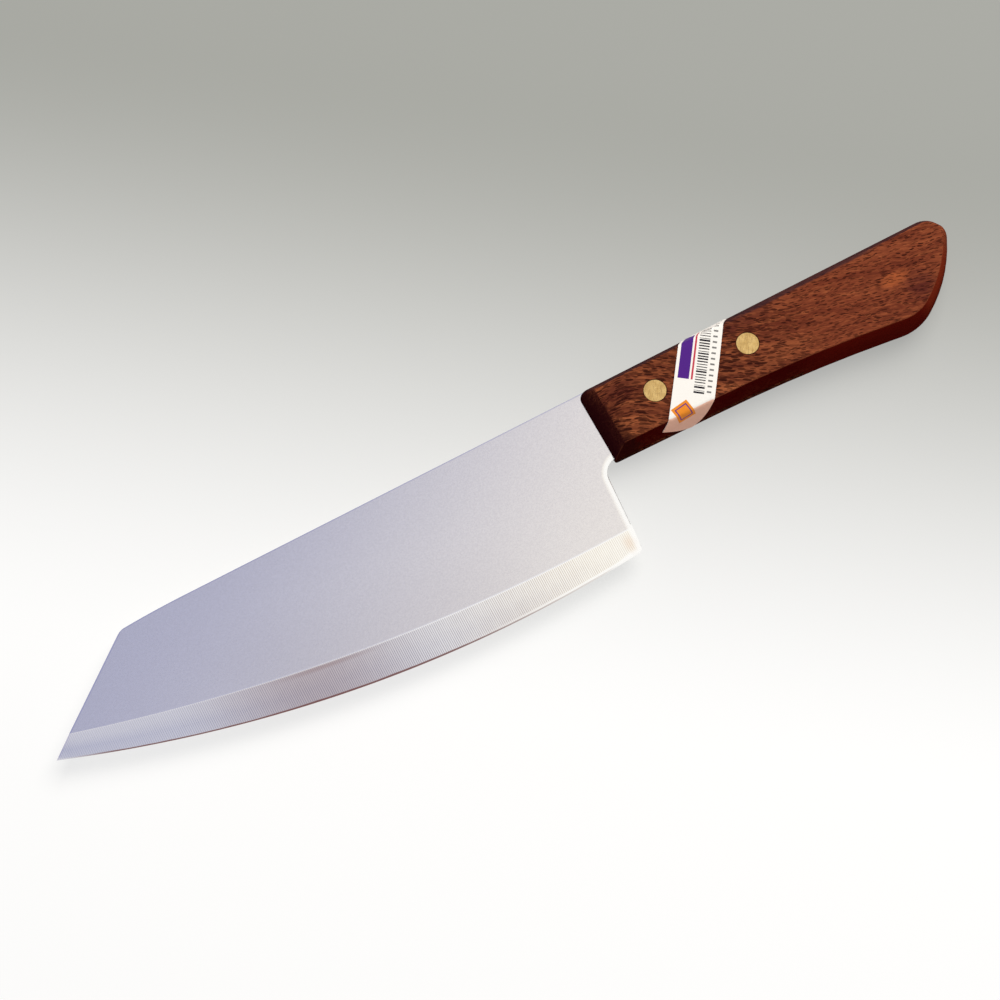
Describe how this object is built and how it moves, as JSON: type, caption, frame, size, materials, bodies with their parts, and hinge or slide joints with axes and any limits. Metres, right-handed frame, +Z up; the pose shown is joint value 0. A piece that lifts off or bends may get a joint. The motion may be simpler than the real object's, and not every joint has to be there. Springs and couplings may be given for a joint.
{
  "type": "kitchen knife",
  "caption": "Wide kitchen knife with a slanting point, curved ground edge and dropped heel, its tang riveted into a slotted wooden handle with a beaked butt and a slanting paper label.",
  "frame": {"origin": "on the table under the middle of the knife's outline, as it lies on its right side", "axes": "+X from the tip to the butt, +Y from the cutting edge to the spine, +Z up, out of the left side of the blade"},
  "size_m": [0.3018, 0.0518, 0.0152],
  "materials": {
    "blade_steel": "satin, with fine grinding lines across the bevel",
    "handle_wood": "oiled red-brown hardwood with short dark pores",
    "rivet_brass": "sanded flush with the wood",
    "label_paper": "smooth white printed paper"
  },
  "bodies": {
    "root": {"blade": "blade_steel", "handle": "handle_wood", "front_rivet_socket": "rivet_brass", "front_rivet_pin": "rivet_brass", "rear_rivet_socket": "rivet_brass", "rear_rivet_pin": "rivet_brass", "label": "label_paper"}
  },
  "joints": []
}
